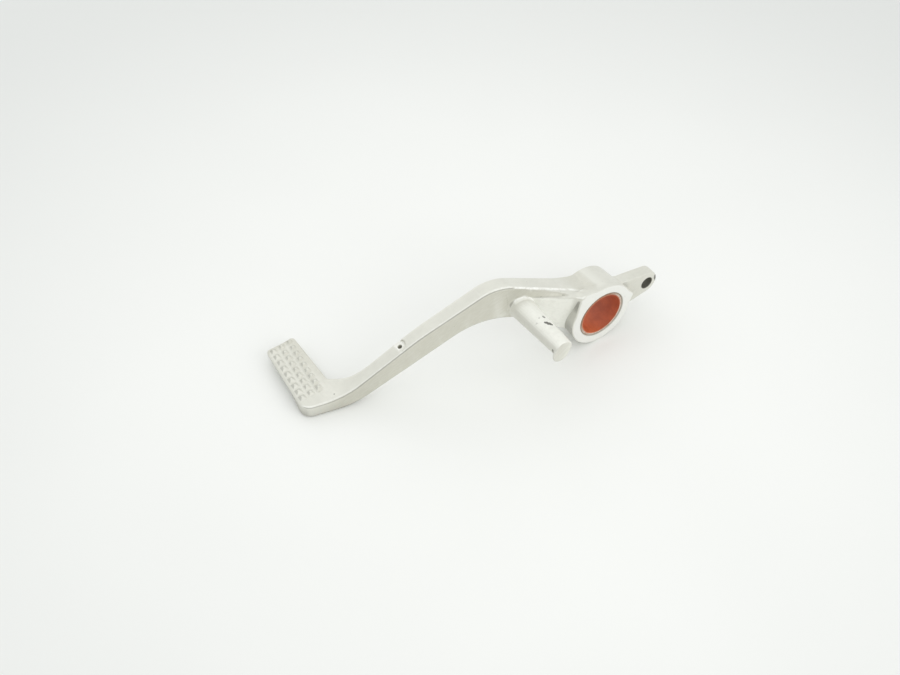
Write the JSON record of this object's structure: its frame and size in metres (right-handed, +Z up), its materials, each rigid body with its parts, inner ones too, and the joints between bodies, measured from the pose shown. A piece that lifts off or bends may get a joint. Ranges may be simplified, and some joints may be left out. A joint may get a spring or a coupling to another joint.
{
  "type": "rear brake pedal",
  "caption": "Cast motorcycle rear brake pedal: arched arm with a studded tread, round pivot boss with a lined bush, a spring peg and a rear tongue with an eye for the brake rod.",
  "frame": {"origin": "on the pivot axis, at the middle of the bush's length", "axes": "+X rearward, towards the rod eye; +Y outboard along the pivot axis, the way the tread points; +Z up"},
  "size_m": [0.2278, 0.1238, 0.0626],
  "materials": {
    "casting": "cast aluminium with a satin silver coat, fine grain and a few chips",
    "bush_steel": "turned steel, dull",
    "bush_lining": "matt red-brown bearing lining"
  },
  "bodies": {
    "root": {"pedal_lever": "casting", "bush_shell": "bush_steel", "bush_lining": "bush_lining"}
  },
  "joints": []
}
